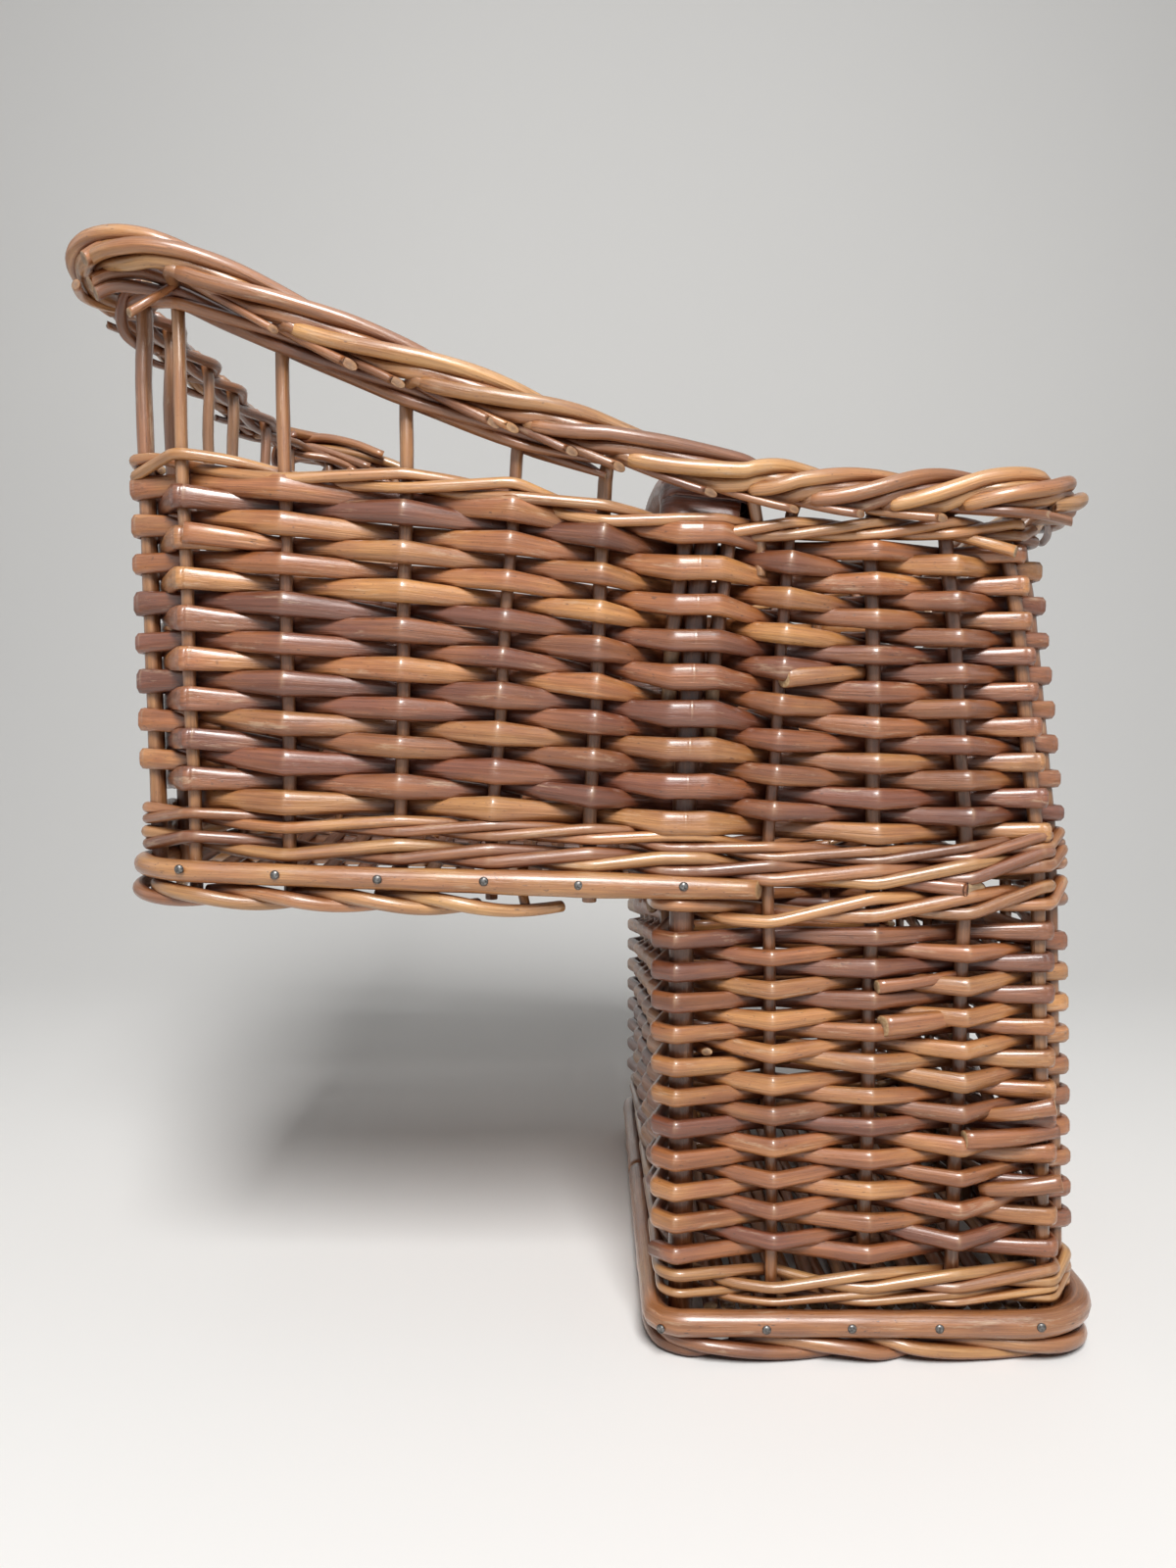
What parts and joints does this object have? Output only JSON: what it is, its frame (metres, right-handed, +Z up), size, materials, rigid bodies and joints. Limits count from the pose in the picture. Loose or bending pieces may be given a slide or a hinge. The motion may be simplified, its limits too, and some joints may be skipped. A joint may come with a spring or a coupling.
{
  "type": "wicker stair basket",
  "caption": "L-shaped woven willow basket that stands on two steps of a stair: a deep leg for the lower step, a shelf for the upper one, and a wrapped cross handle.",
  "frame": {"origin": "middle of the bounding box's underside, as the basket stands on its two steps", "axes": "+Z up, +X from the shelf's end towards the deep leg, +Y from the pictured side to the hidden side"},
  "size_m": [0.4248, 0.3174, 0.4518],
  "materials": {
    "stake": "lacquered brown willow rod",
    "weaver": "lacquered split willow",
    "wale": "lacquered willow rod, golden brown",
    "border": "lacquered willow rod, golden brown",
    "frame": "thick lacquered willow rod",
    "skein": "glossy dark wound skein"
  },
  "bodies": {
    "root": {"near_stake_1": "stake", "near_stake_2": "stake", "near_stake_3": "stake", "near_stake_4": "stake", "near_stake_5": "stake", "near_stake_6": "stake", "near_stake_7": "stake", "near_stake_8": "stake", "near_stake_9": "stake", "far_stake_1": "stake", "far_stake_2": "stake", "far_stake_3": "stake", "far_stake_4": "stake", "far_stake_5": "stake", "far_stake_6": "stake", "far_stake_7": "stake", "far_stake_8": "stake", "far_stake_9": "stake", "end_stake_1": "stake", "end_stake_2": "stake", "end_stake_3": "stake", "end_stake_4": "stake", "end_stake_5": "stake", "end_stake_6": "stake", "toe_stake_1": "stake", "toe_stake_2": "stake", "toe_stake_3": "stake", "toe_stake_4": "stake", "toe_stake_5": "stake", "riser_stake_1": "stake", "riser_stake_2": "stake", "riser_stake_3": "stake", "riser_stake_4": "stake", "near_border_rod": "border", "far_border_rod": "border", "handle_bow": "stake", "handle_liner_left": "stake", "handle_liner_right": "stake", "handle_wrap": "skein", "upper_weave": "weaver", "leg_weave": "weaver", "top_wale": "wale", "waist_wale": "wale", "leg_top_wale": "wale", "leg_base_wale": "wale", "rim_wale_1": "wale", "rim_wale_2": "wale", "rim_wale_3": "wale", "shelf_frame_rod": "frame", "leg_frame_rod": "frame", "shelf_foot_border": "border", "leg_foot_border": "border", "cross_bar": "frame", "shelf_stick_1": "stake", "shelf_stick_2": "stake", "shelf_stick_3": "stake", "shelf_floor_weave": "weaver", "leg_stick_1": "stake", "leg_stick_2": "stake", "leg_floor_weave": "weaver"}
  },
  "joints": []
}
